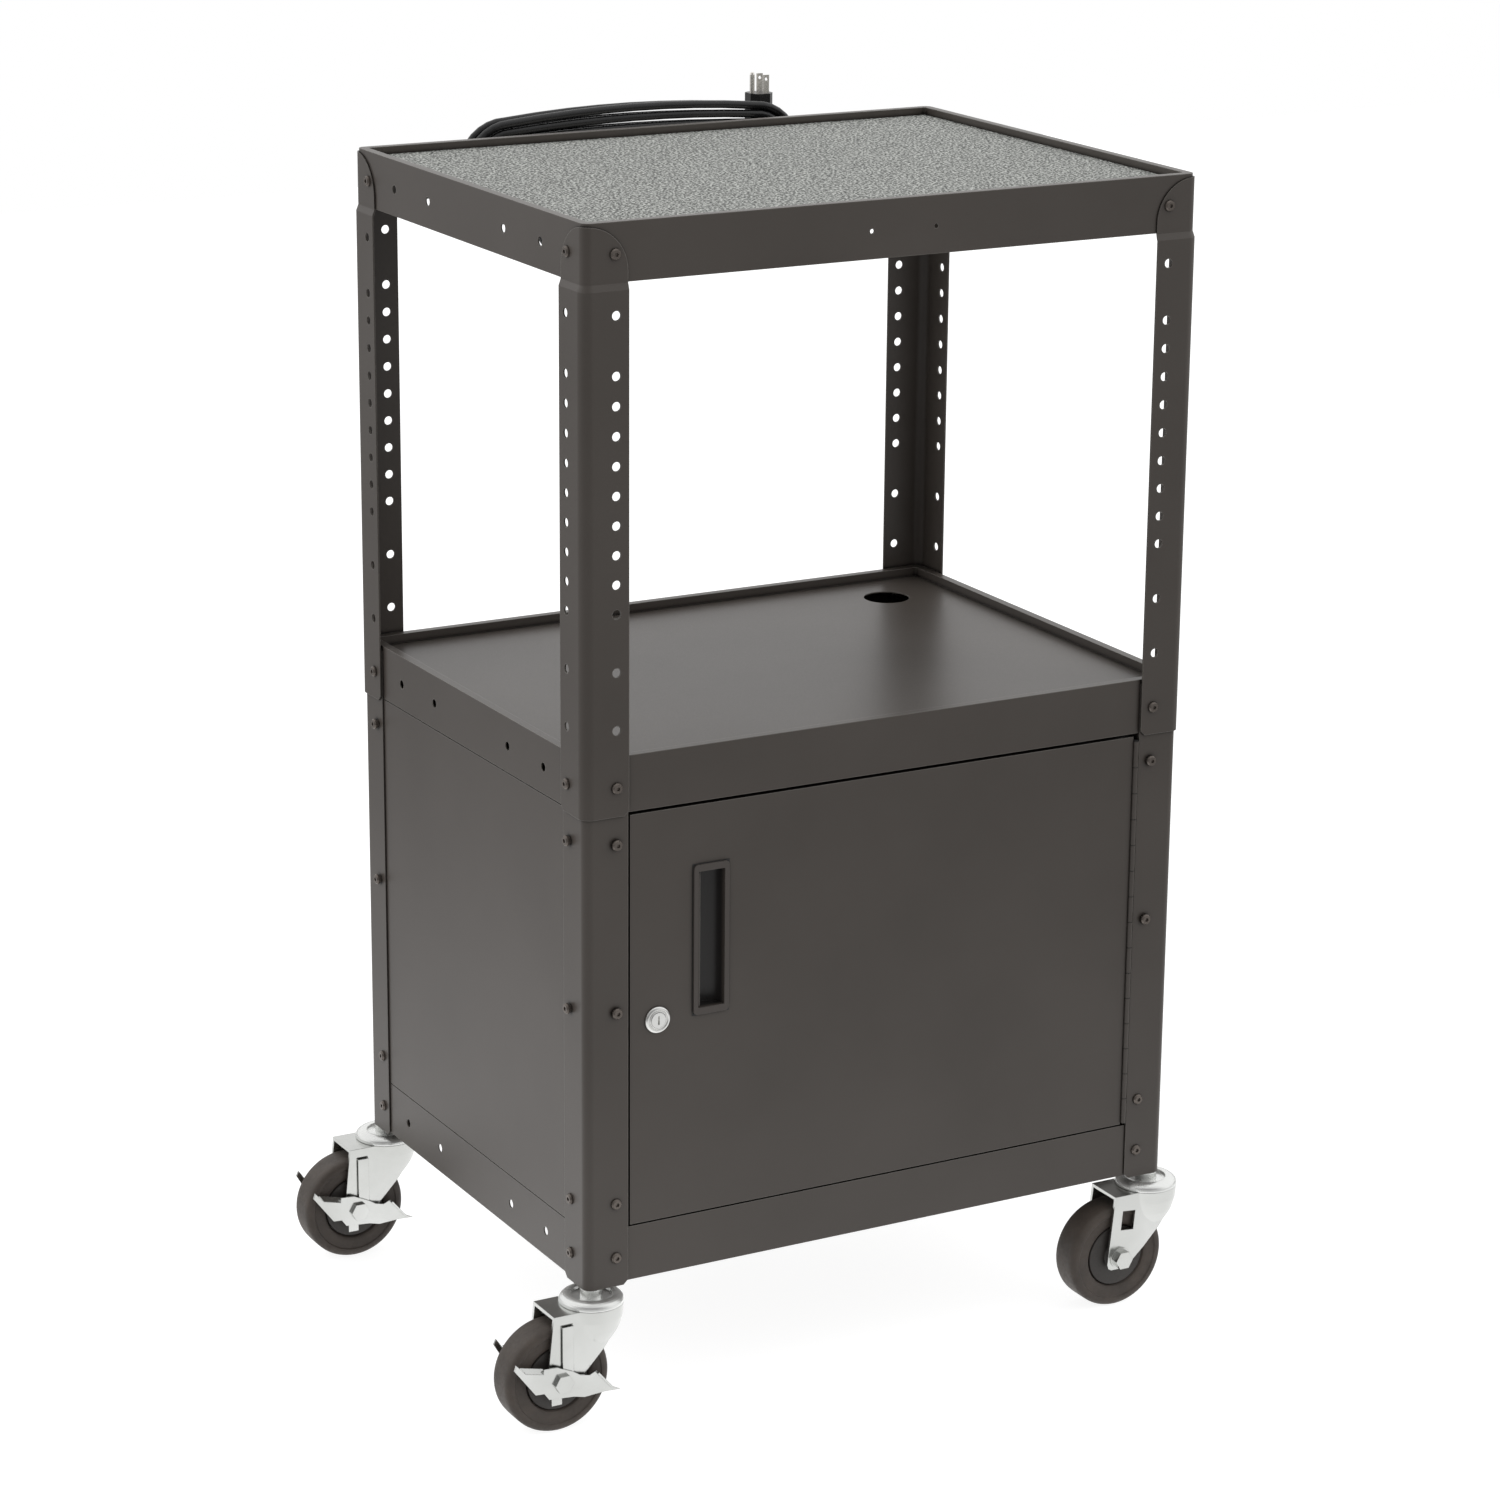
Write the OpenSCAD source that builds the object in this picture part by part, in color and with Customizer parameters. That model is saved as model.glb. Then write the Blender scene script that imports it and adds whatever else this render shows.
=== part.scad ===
// Projector cart: a height-adjustable top shelf over a middle shelf and a lockable cabinet,
// on four swivel casters, with an outlet unit and its wound cord behind the top shelf.
// Z is up, the door faces -Y, X runs to the right. Lengths are in millimetres.

/* [Frame] */
// width over the faces of the upper legs
cart_w = 609; // [590:1:640]
// depth over the faces of the upper legs
cart_d = 463; // [450:1:490]
// height of the lower legs' feet over the floor
foot_z = 124.3; // [124:0.1:128]
// vertical pitch of the screw lines
pitch = 25.4; // [25:0.1:26]
// sheet of the legs
leg_t = 1.5; // [1.4:0.1:1.7]
// running gap between an upper and a lower leg
leg_gap = 0.5; // [0.4:0.05:0.6]
// flange width of an upper leg
flange_w = 43.5; // [42:0.5:46]
// corner radius of the upper legs
leg_r = 10; // [9:0.5:12]
// distance of the screw columns from the cart's faces
hole_inset = 31.5; // [30:0.5:32]
// diameter of the open holes in the legs and skirts
hole_d = 8; // [7.8:0.1:8.4]

/* [Shelves] */
// sheet of the shelves
shelf_t = 1.2; // [1:0.1:1.4]
// skirt above the screw line
skirt_up = 26.5; // [26:0.5:28]
// skirt below the screw line
skirt_low = 24; // [23:0.5:26]
// flat lip round each tray
lip_w = 8; // [7:0.5:10]
// depth of the tray below its lip
tray_depth = 8.5; // [8:0.5:10]
// sheet of the mat on the top shelf
mat_t = 1.5; // [1:0.5:2]
// diameter of the cord hole in the middle shelf
cord_hole_d = 44.5; // [40:0.5:50]

/* [Cabinet] */
// sheet of the cabinet's panels and door
panel_t = 1; // [0.9:0.1:1.2]
// depth of the door's pan and of the jambs behind the front faces
pan_depth = 14; // [13:0.5:16]
// gap at the door's free edge
door_gap = 2.5; // [2:0.5:3.5]
// outer diameter of the piano hinge
hinge_d = 5.2; // [5:0.1:5.4]
// thickness of the hinge leaves
leaf_t = 1; // [0.8:0.1:1.2]
// diameter of the hinge pin
hinge_pin_d = 2.9; // [2.6:0.1:3]
// height of the handle's bezel
handle_h = 137.6; // [125:0.1:145]
// width of the handle's bezel
handle_w = 34.8; // [33:0.1:37]
// diameter of the lock's bezel
lock_d = 24.7; // [24:0.1:27]

/* [Casters] */
// diameter of the wheels
wheel_d = 100; // [99:0.5:100.5]
// width of the tyres
tyre_w = 32.5; // [31:0.5:33]
// diameter of the wheel hubs
hub_d = 60; // [55:1:63]
// width over the fork legs
fork_w = 41; // [40.5:0.1:42]
// sheet of the forks
fork_t = 3; // [2.8:0.1:3.2]
// trail of the axle behind the stem
trail = 40; // [38:0.5:42]
// diameter of the axle bolts
axle_d = 8; // [7.5:0.1:8.5]
// diameter of the dome over each fork
dome_d = 58.5; // [56:0.5:60]

/* [Power unit] */
// length of the outlet housing
power_l = 266; // [256:1:270]
// depth of the outlet housing behind the shelf
power_d = 34; // [32:1:38]
// height of the outlet housing
power_h = 52; // [50:1:54]
// diameter of the supply cord
cord_d = 7.5; // [7:0.1:7.8]

/* [Hidden] */
$fn = 32;
over = 6;             // overrun of every cut
seat = 0.05;          // radial clearance of a bore on its pin, bolt or screw
fit_gap = 0.5;        // clearance between fitted sheets
panel_gap = 0.8;      // clearance of the panels under and over the shelves
cabinet_lines = [2, 9, 15]; // screw lines through the panels, counted in pitches
middle_line = 17;     // screw line of the middle shelf, in pitches over the lowest line
top_line = 35;        // screw line of the top shelf, in pitches over the lowest line
leg_over = 3;         // reach of the lower legs below the bottom skirt
leg_tail = 26;        // reach of the upper legs below their lowest hole
leg_chamfer = 4.5;    // cut at the free corners of the flanges
joggle_h = 5.5;       // height of the step between an upper leg and its ear
joggle_gap = 0.5;     // gap between the step and the top skirt
ear_drop = 3;         // ear below the rim
ear_r = 38;           // radius of the ear's rounded outline
leg_holes = [2, 4, 6, 7, 8, 9, 10, 11, 12, 13, 14, 16]; // open holes over the lowest one

// faces, measured from the centre of the cart
up_x = cart_w / 2;
up_y = cart_d / 2;
low_x = up_x - leg_t - leg_gap;
low_y = up_y - leg_t - leg_gap;
skirt_x = low_x - leg_t;
skirt_y = low_y - leg_t;
edge_x = up_x - flange_w;
edge_y = up_y - flange_w;
hole_x = up_x - hole_inset;
hole_y = up_y - hole_inset;
low_r = leg_r - leg_t - leg_gap;
shelf_r = low_r - leg_t + fit_gap;
function line_z(i) = foot_z + leg_over + skirt_low + i * pitch;
bottom_z = line_z(0) - skirt_low;
bottom_rim = line_z(0) + skirt_up;
middle_z = line_z(middle_line) - skirt_low;
middle_rim = line_z(middle_line) + skirt_up;
top_z = line_z(top_line) - skirt_low;
top_rim = line_z(top_line) + skirt_up;

// screws
screw_r = 3;
shoulder_r = 3.6;
screw_l = 10;
head_r = 4.9;
head_h = 2.8;
head_top_share = 0.78;
socket_r = 2;
socket_h = 1.6;
nut_r = 5.8;
nut_h = 5;
stand_proud = 0.3;
stand_off = leg_gap + leg_t + stand_proud;
skirt_hole_ys = [147, 76];
front_hole_r = 2;
front_hole_xs = [-28.4, 35.1];
cord_hole_in = [78.4, 69.5];
cord_hole_at = [skirt_x - cord_hole_in[0], skirt_y - cord_hole_in[1]];

// cabinet
gusset_l = 50;
gusset_t = 3;
weld_nut_r = 9;
weld_nut_h = 12;
jamb_depth = pan_depth + 2 * panel_t;
panel_z = bottom_rim + panel_gap;
panel_top = middle_z - panel_gap;
door_low_gap = 1.5;
door_top_gap = 2.8;
door_x0 = -edge_x + door_gap;
door_z0 = bottom_rim + door_low_gap;
door_z1 = middle_z - door_top_gap;
leaf_space = 3.5;
leaf_room = 2 * leaf_t + leaf_space;
door_x1 = edge_x - leaf_room;
hinge_x = edge_x - leaf_room / 2;
hinge_y = -skirt_y - leaf_t / 2;
hinge_low = 1.6;
hinge_high = 4;
hinge_z0 = door_z0 + hinge_low;
hinge_z1 = door_z1 - hinge_high;
hinge_n = 15;
hinge_gap = 0.3;
knuckle_l = (hinge_z1 - hinge_z0) / hinge_n;
pin_head_r = 2.3;

// handle and lock
handle_in = 78.8;
handle_up = 309;
handle_x = door_x0 + handle_in;
handle_z = foot_z + handle_up;
handle_r = 4;
handle_proud = 2.2;
cup_wall = 1.5;
pocket_left = 8.55;
pocket_right = 4.55;
pocket_end = 6.3;
pocket_w = handle_w - pocket_left - pocket_right;
pocket_h = handle_h - 2 * pocket_end;
pocket_depth = 13;
pocket_x = handle_x + (pocket_left - pocket_right) / 2;
lock_in = 26.6;
lock_up = 242;
lock_x = door_x0 + lock_in;
lock_z = foot_z + lock_up;
lock_proud = 3;
lock_body_r = 9.2;
lock_body_l = 16;
core_r = 7;
key_w = 1.6;
key_h = 8;
key_depth = 4;
lock_nut_r = 13;
lock_nut_h = 4;
cam_l = 38;
cam_r = 6;
cam_t = 2;
cam_gap = 1.5;
cam_y = -skirt_y + jamb_depth + cam_gap;

// casters
stem_inset = 12;
stem_x = up_x - stem_inset;
stem_y = up_y - stem_inset;
wheel_r = wheel_d / 2;
fork_top = 111.7;
kingpin_r = 6;
rivet_r = 8.5;
rivet_h = 3;
race_gap = 0.3;
dome_r = dome_d / 2;
dome_h = 7.5;
dome_edge = 1;
dome_flat = 21;
dome_in = 17.5;
dome_sink = 3;
collar_r = 10;
neck_r = 8.3;
stem_r = 4.75;
fork_tail = 46.5;
bowl_r = dome_r - race_gap / 2;
bowl_low = 34;
bowl_sink = 0.5;
bowl_inner = 24;
bowl_wall = 3.2;
// outline of the bowl: share of its flare against share of its height from the top
bowl_shares = [[0, 1], [0.55, 0.68], [0.9, 0.34]];
fork_nose_r = 12;
window_w = 14;
window_h = 19;
window_at = [8, 36.4];
window_lean = 5.5;
boss_r = 10;
boss_gap = 0.2;
hub_web_share = 0.8;
shoulder = 6;
bolt_head_r = 9.2;
bolt_reach = 28.9;
washer_t = 1.6;
washer_r = 10.5;
axle_nut_h = 6;
lever_t = 1.8;
strip_t = 1.2;
strip_w = 10.7;
strip_gap = 1.5;
strip_x = 6;
strip_rise = 51.7;
strip_end = 9;
nub_w = 10;
nub_x = -5.5;
nub_low = 20.5;
// outline of a brake lever round its bolt, as shares of its length on the long side
lever_l = 56;
lever_shares = [[-0.81, 0.47], [-0.84, 0.375], [-0.48, -0.10], [-0.33, -0.11], [-0.245, -0.227],
    [0.186, -0.264], [0.37, -0.31], [0.72, -0.29], [1, -0.305], [0.84, -0.225], [0.58, 0.098],
    [0.46, 0.043], [0.30, 0.08], [0.17, 0.164], [-0.10, 0.288], [-0.33, 0.305],
    [-0.34, 0.218], [-0.65, 0.293]];
// tab along the lever's hollow edge, bent over the tyre, in shares of the lever's length
tab_shares = [[0, 0], [-0.32, 0], [-0.40, 0.1], [0, 0.1]];
tab_at_share = [-0.34, 0.21];
tab_lean = 45;
tab_turn = 13.6;
// pedal along the lever's long end, bent away from the wheel
pedal_at_share = [0.71, -0.075];
pedal_share = 0.4;
pedal_reach = 4;
pedal_lean = 50;
far_turn = 7;         // the lever behind the wheel stands a little higher
// outline of a fork leg from the axle up to the top plate, as shares of the fork's height
fork_h = fork_top - wheel_r;
fork_reach = fork_tail + fork_nose_r;
fork_shares = [[-0.22, -0.08], [-0.105, 1], [-0.105, 1.1], [1.3, 1.1], [1.3, 1], [1.14, 0.82],
    [0.91, 0.62], [0.65, 0.34], [0.426, 0.104], [0.16, -0.14], [0.1, -0.18], [-0.15, -0.18],
    [-0.2, -0.15]];

// outlet unit
power_top = 6.8;
power_r = 6;
power_z = top_rim - power_top - power_h / 2;
power_y = skirt_y + power_d;
block_w = 190;
block_h = 34;
block_drop = 3;
block_in = 4;
block_out = 1;
outlet_xs = [-58, 0, 58];
slot_w = 2;
slot_h = 7;
slot_dx = 6.35;
ground_r = 2.4;
slot_deep = 3.5;
cap_w = 17;
post_wall = 3;
lip_r = 27;
lip_t = 3;
hank_x = 130;
hank_drop = 6;
hank_z = power_z - hank_drop;
layer_gap = 4;
layer_step = 8.2;
layer_y = [power_y + layer_gap, power_y + layer_gap + layer_step];
post_l = layer_y[1] - power_y + cord_d / 2 + hinge_gap;
post_r = 19.9;

// wound cord: radius of the end arcs against the turn, in and out again in two layers
cord_r = cord_d / 2;
turns = 6;
steps = 24;
run = steps / 12;
arc = steps / 3;
hank_sides = 6;
cord_sides = 8;
turn_r = 24;
turn_step = 8.2;
bow_share = 0.15;
climb_share = 0.25;
plug_at = [152, 296];
plug_neck_z = 1010;
plug_neck_r = 5;
plug_neck_l = 12;
plug_cone_l = 10;
plug_cone_r = 9;
plug_w = 24;
plug_h = 48;
blade_w = 6.3;
blade_t = 1.5;
blade_l = 17.5;
blade_dx = 6.35;
blade_hole_r = 1.6;
blade_hole_down = 4;
pin_r = 2.4;
pin_l = 20;
pin_dy = 5;
plug_shares = [[-0.5, 0.3], [-0.5, -0.18], [-0.24, -0.46], [0.24, -0.46], [0.5, -0.18],
    [0.5, 0.3], [0.3, 0.46], [-0.3, 0.46]];
gland_at = [-110, 245];
gland_r = 6.5;
gland_tip_r = 4.4;
gland_l = 20;
clip_r = 8;
clip_h = 8;
clip_wrap = 3;
lead_points = [[-110, 245, 988], [-110, 245, 980], [-108, 245, 969], [-102, 245.5, 960],
    [-93, 246.5, 953], [-82, 248.5, 950], [-68, 252, 949.5], [-50, 257, 954],
    [-34, 261.5, 961], [-20, 264.5, 968], [-8, 266, 972], [0, 266, 972.1]];
tail_points = [[0, 274.2, 972.1], [8, 274.2, 972], [30, 276, 972], [55, 283, 971.5],
    [80, 291, 971.5], [100, 295, 971.5], [116, 296, 972], [125, 296, 973], [134, 296, 977],
    [142, 296, 983], [148, 296, 991], [151, 296, 999], [152, 296, 1006], [152, 296, 1010]];

function turn_b(u) = turn_r + turn_step * abs(u - turns / 2);
function bow(x) = 1 + bow_share * max(0, 1 - pow(x / hank_x, 2));
function climb(u) = min(1, max(0, (u - turns / 2) / (2 * climb_share) + 1 / 2));
function arc_angle(s) = 180 * s / arc - 90;
function flat_point(s, b) =
    s < run ? [hank_x * s / run, -b] :
    s < run + arc ? [hank_x + b * cos(arc_angle(s - run)), b * sin(arc_angle(s - run))] :
    s < 3 * run + arc ? [hank_x * (2 * run + arc - s) / run, b] :
    s < 3 * run + 2 * arc ?
        [-hank_x - b * cos(arc_angle(s - 3 * run - arc)), -b * sin(arc_angle(s - 3 * run - arc))] :
    [hank_x * (s - steps) / run, -b];
function hank_point(i) =
    let (u = i / steps, p = flat_point(i % steps, turn_b(u)))
    [p[0], layer_y[0] + (layer_y[1] - layer_y[0]) * climb(u), hank_z + p[1] * bow(p[0])];
hank_points = [for (i = [0:turns * steps]) hank_point(i)];

function unit(v) = v / norm(v);
function tangent(p, i) =
    i == 0 ? unit(p[1] - p[0]) :
    i == len(p) - 1 ? unit(p[i] - p[i - 1]) : unit(p[i + 1] - p[i - 1]);
function ring(c, t, r, n) =
    let (a = unit(cross(t, [0, 1, 0])), b = cross(a, t))
    [for (k = [0:n - 1]) c + r * (a * cos(360 * k / n) + b * sin(360 * k / n))];

function path_length(p, i = 1) =
    i >= len(p) ? 0 : norm(p[i] - p[i - 1]) + path_length(p, i + 1);
hank_gap = min([for (i = [0:len(hank_points) - 1])
    for (j = [i + steps / 2:len(hank_points) - 1]) norm(hank_points[i] - hank_points[j])]) - cord_d;
echo(hank_gap = hank_gap);
echo(cord_length = path_length(lead_points) + path_length(hank_points) + path_length(tail_points));

// the box of the rigid cart, centred on the origin by every node
box_x0 = -stem_x - trail - wheel_r;
box_x1 = stem_x + dome_r;
box_y0 = -stem_y - dome_r;
box_y1 = plug_at[1] + clip_wrap;
origin_x = (box_x0 + box_x1) / 2;
origin_y = (box_y0 + box_y1) / 2;

powder = "#4c4845";
zinc = "#c9cbcb";
rubber = "#3a3735";
black = "#1d1d1e";

// shared shapes

// moves the cart so that its box is centred over the origin
module placed() {
    translate([-origin_x, -origin_y, 0]) children();
}

module box(x0, x1, y0, y1, z0, z1) {
    translate([x0, y0, z0]) cube([x1 - x0, y1 - y0, z1 - z0]);
}

// rectangle with true round corners, from two bars and four discs
module round_rect(w, d, r) {
    square([w - 2 * r, d], center = true);
    square([w, d - 2 * r], center = true);
    for (sx = [-1, 1], sy = [-1, 1])
        translate([sx * (w / 2 - r), sy * (d / 2 - r)]) circle(r);
}

// slab of the cart's plan, inset from the skirt's faces
module plan_slab(inset, z0, z1) {
    translate([0, 0, z0]) linear_extrude(z1 - z0)
        round_rect(2 * (skirt_x - inset), 2 * (skirt_y - inset), max(shelf_r - inset, 2 * shelf_t));
}

// plate in the X-Z plane with round corners, from y0 to y1
module front_plate(x, z, w, h, r, y0, y1) {
    translate([x, y1, z]) rotate([90, 0, 0]) linear_extrude(y1 - y0) round_rect(w, h, r);
}

module y_rod(x, z, r, y0, y1) {
    translate([x, y1, z]) rotate([90, 0, 0]) cylinder(r = r, h = y1 - y0);
}

// places a child on both flanges of every corner, its +Z pointing out of the face
module on_flanges(z, x, y) {
    for (sx = [-1, 1], sy = [-1, 1]) {
        translate([sx * hole_x, sy * y, z]) rotate([-90 * sy, 0, 0]) children();
        translate([sx * x, sy * hole_y, z]) rotate([0, 90 * sx, 0]) children();
    }
}

module flange_holes(z, r) {
    on_flanges(z, skirt_x - over, skirt_y - over) cylinder(r = r, h = 3 * over);
}

// legs

// filled corner between the flange edges and the faces of a leg
module corner_shape(sx, sy, x, y, r, ex, ey) {
    translate([sx * (ex + x - r) / 2, sy * (ey + y) / 2])
        square([x - r - ex, y - ey], center = true);
    translate([sx * (ex + x) / 2, sy * (ey + y - r) / 2])
        square([x - ex, y - r - ey], center = true);
    translate([sx * (x - r), sy * (y - r)]) circle(r);
}

module corner_sheet(sx, sy, x, y, r) {
    difference() {
        corner_shape(sx, sy, x, y, r, edge_x, edge_y);
        corner_shape(sx, sy, x - leg_t, y - leg_t, r - leg_t, edge_x - over, edge_y - over);
    }
}

// chamfers both free corners of a leg at one end
module end_chamfers(sx, sy, z) {
    translate([sx * edge_x, sy * low_y, z]) rotate([0, 45, 0])
        cube([leg_chamfer * sqrt(2), 2 * over, leg_chamfer * sqrt(2)], center = true);
    translate([sx * low_x, sy * edge_y, z]) rotate([45, 0, 0])
        cube([2 * over, leg_chamfer * sqrt(2), leg_chamfer * sqrt(2)], center = true);
}

module lower_leg(sx, sy) {
    color(powder) placed() difference() {
        translate([0, 0, foot_z]) linear_extrude(middle_rim - foot_z)
            corner_sheet(sx, sy, low_x, low_y, low_r);
        for (i = concat([0, middle_line], cabinet_lines)) flange_holes(line_z(i), screw_r + seat);
        end_chamfers(sx, sy, foot_z);
        end_chamfers(sx, sy, middle_rim);
    }
}

// what the ear loses outside its round outline, on one flange after the other
module ear_cut(sx, sy) {
    ear_top = top_rim - ear_drop;
    difference() {
        translate([sx * (edge_x + ear_r / 2 - over / 2), sy * low_y, ear_top - ear_r / 2 + over / 2])
            cube([ear_r + over, 2 * over, ear_r + over], center = true);
        translate([sx * (edge_x + ear_r), sy * low_y, ear_top - ear_r]) rotate([90, 0, 0])
            cylinder(r = ear_r, h = 3 * over, center = true, $fn = 64);
    }
    difference() {
        translate([sx * low_x, sy * (edge_y + ear_r / 2 - over / 2), ear_top - ear_r / 2 + over / 2])
            cube([2 * over, ear_r + over, ear_r + over], center = true);
        translate([sx * low_x, sy * (edge_y + ear_r), ear_top - ear_r]) rotate([0, 90, 0])
            cylinder(r = ear_r, h = 3 * over, center = true, $fn = 64);
    }
}

// solid step between the plan of the sliding part and the plan of the ear
module joggle(sx, sy, z, inset, edge) {
    hull() {
        translate([0, 0, z - inset]) linear_extrude(seat)
            corner_shape(sx, sy, up_x - inset, up_y - inset, leg_r - inset, edge_x - edge, edge_y - edge);
        translate([0, 0, z + joggle_h - seat]) linear_extrude(seat)
            corner_shape(sx, sy, low_x - inset, low_y - inset, low_r - inset, edge_x - edge, edge_y - edge);
    }
}

module upper_leg(sx, sy) {
    z0 = line_z(middle_line) - leg_tail;
    z1 = top_z - joggle_gap - joggle_h;
    color(powder) placed() difference() {
        union() {
            translate([0, 0, z0]) linear_extrude(z1 - z0) corner_sheet(sx, sy, up_x, up_y, leg_r);
            difference() {
                joggle(sx, sy, z1, 0, 0);
                joggle(sx, sy, z1, leg_t, over);
            }
            translate([0, 0, z1 + joggle_h - seat])
                linear_extrude(top_rim - ear_drop - z1 - joggle_h + seat)
                corner_sheet(sx, sy, low_x, low_y, low_r);
        }
        flange_holes(line_z(middle_line), hole_d / 2);
        for (i = leg_holes) flange_holes(line_z(middle_line + i), hole_d / 2);
        flange_holes(line_z(top_line), screw_r + seat);
        end_chamfers(sx, sy, z0);
        ear_cut(sx, sy);
    }
}

// screws and nuts

module screw(stand) {
    translate([0, 0, -screw_l]) cylinder(r = screw_r, h = screw_l + stand, $fn = 16);
    if (stand > 0) cylinder(r = shoulder_r, h = stand, $fn = 16);
    translate([0, 0, stand]) difference() {
        union() {
            cylinder(r = head_r, h = head_h / 2, $fn = 24);
            translate([0, 0, head_h / 2])
                cylinder(r1 = head_r, r2 = head_r * head_top_share, h = head_h / 2, $fn = 24);
        }
        translate([0, 0, head_h - socket_h]) cylinder(r = socket_r, h = socket_h + over, $fn = 6);
    }
}

module nut(depth) {
    translate([0, 0, -depth - nut_h]) difference() {
        cylinder(r = nut_r, h = nut_h, $fn = 6);
        translate([0, 0, -over]) cylinder(r = screw_r + seat, h = nut_h + 2 * over, $fn = 16);
    }
}

module lower_frame_screws() {
    color(black) placed() {
        for (i = [0, cabinet_lines[0]]) on_flanges(line_z(i), low_x, low_y) screw(0);
        for (i = [cabinet_lines[1], cabinet_lines[2], middle_line])
            on_flanges(line_z(i), low_x, low_y) screw(stand_off);
    }
}

module lower_frame_nuts() {
    color(zinc) placed() {
        for (i = [0, middle_line])
            on_flanges(line_z(i), low_x, low_y) nut(leg_t + shelf_t);
        for (i = cabinet_lines) for (sx = [-1, 1]) {
            translate([sx * hole_x, -low_y, line_z(i)]) rotate([90, 0, 0]) nut(leg_t + panel_t);
            translate([sx * hole_x, low_y, line_z(i)]) rotate([-90, 0, 0]) nut(leg_t + 2 * panel_t);
            for (sy = [-1, 1]) translate([sx * low_x, sy * hole_y, line_z(i)])
                rotate([0, 90 * sx, 0]) nut(leg_t + panel_t);
        }
    }
}

module top_screws() {
    color(black) placed() on_flanges(line_z(top_line), low_x, low_y) screw(0);
}

module top_nuts() {
    color(zinc) placed() on_flanges(line_z(top_line), low_x, low_y) nut(leg_t + shelf_t);
}

// shelves

// tray with a flat lip, a sunk floor, a skirt and a return along the skirt's lower edge
module shelf_body(z) {
    rim = z + skirt_low + skirt_up;
    wall = lip_w - shelf_t;
    difference() {
        union() {
            difference() {
                plan_slab(0, z, rim);
                plan_slab(shelf_t, z + shelf_t, rim - shelf_t);
                plan_slab(lip_w, z - over, z + 2 * shelf_t);
            }
            plan_slab(wall, rim - tray_depth - shelf_t, rim);
        }
        plan_slab(lip_w, rim - tray_depth, rim + over);
        flange_holes(z + skirt_low, screw_r + seat);
        for (sx = [-1, 1], y = skirt_hole_ys, sy = [-1, 1])
            translate([sx * skirt_x, sy * y, z + skirt_low]) rotate([0, 90, 0])
                cylinder(d = hole_d, h = 2 * over, center = true);
    }
}

module top_shelf() {
    color(powder) placed() difference() {
        shelf_body(top_z);
        for (x = front_hole_xs) y_rod(x, line_z(top_line), front_hole_r, -skirt_y - over, -skirt_y + over);
    }
}

module shelf_mat() {
    color("#8b8a86") placed()
        plan_slab(lip_w + fit_gap, top_rim - tray_depth, top_rim - tray_depth + mat_t);
}

module middle_shelf() {
    color(powder) placed() difference() {
        shelf_body(middle_z);
        translate([cord_hole_at[0], cord_hole_at[1], middle_rim - tray_depth])
            cylinder(d = cord_hole_d, h = 2 * over, center = true);
    }
}

// the bottom tray carries a gusset and a weld nut for the caster stem in each corner
module bottom_shelf() {
    color(powder) placed() difference() {
        union() {
            shelf_body(bottom_z);
            intersection() {
                plan_slab(shelf_t / 2, bottom_z, bottom_z + gusset_t);
                for (sx = [-1, 1], sy = [-1, 1])
                    translate([sx * (skirt_x - gusset_l / 2), sy * (skirt_y - gusset_l / 2), bottom_z])
                        cube([gusset_l, gusset_l, 2 * gusset_t], center = true);
            }
            for (sx = [-1, 1], sy = [-1, 1])
                intersection() {
                    translate([sx * stem_x, sy * stem_y, bottom_z])
                        cylinder(r = weld_nut_r, h = weld_nut_h);
                    plan_slab(shelf_t / 2, bottom_z, bottom_rim - tray_depth);
                }
        }
        for (sx = [-1, 1], sy = [-1, 1])
            translate([sx * stem_x, sy * stem_y, bottom_z - over])
                cylinder(r = stem_r + seat, h = weld_nut_h + 2 * over);
    }
}

// cabinet

module side_panel(sx) {
    color(powder) placed() difference() {
        union() {
            intersection() {
                difference() {
                    plan_slab(0, panel_z, panel_top);
                    plan_slab(panel_t, panel_z - over, panel_top + over);
                }
                translate([sx * (edge_x + skirt_x) / 2, 0, (panel_z + panel_top) / 2])
                    cube([skirt_x - edge_x, 2 * skirt_y, panel_top - panel_z], center = true);
            }
            translate([sx * (edge_x + panel_t / 2), -skirt_y + jamb_depth / 2, (panel_z + panel_top) / 2])
                cube([panel_t, jamb_depth, panel_top - panel_z], center = true);
        }
        for (i = cabinet_lines) flange_holes(line_z(i), screw_r + seat);
    }
}

module back_panel() {
    color(powder) placed() difference() {
        box(-skirt_x + shelf_r + fit_gap, skirt_x - shelf_r - fit_gap,
            skirt_y - 2 * panel_t, skirt_y - panel_t, panel_z, panel_top);
        for (i = cabinet_lines) flange_holes(line_z(i), screw_r + seat);
    }
}

// knuckles of one leaf with the strips that join them to it; first is 0 or 1
module knuckles(first, x0, x1) {
    for (k = [first:2:hinge_n - 1]) {
        z0 = hinge_z0 + k * knuckle_l;
        z1 = z0 + knuckle_l - hinge_gap;
        translate([hinge_x, hinge_y, z0]) cylinder(d = hinge_d, h = z1 - z0);
        box(x0, x1, hinge_y, hinge_y + hinge_d, z0, z1);
    }
}

module hinge_bore() {
    translate([hinge_x, hinge_y, hinge_z0 - over])
        cylinder(d = hinge_pin_d + 2 * seat, h = hinge_z1 - hinge_z0 + 2 * over);
}

module hinge_leaf(first, x0, x1) {
    difference() {
        union() {
            knuckles(first, x0, x1);
            box(x0, x1, hinge_y + hinge_d / 2 + fit_gap, -skirt_y + pan_depth, hinge_z0, hinge_z1);
        }
        hinge_bore();
    }
}

module hinge_leaf_frame() {
    color(powder) placed() hinge_leaf(0, edge_x - leaf_t, edge_x);
}

module hinge_leaf_door() {
    color(powder) placed() hinge_leaf(1, door_x1, door_x1 + leaf_t);
}

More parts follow.
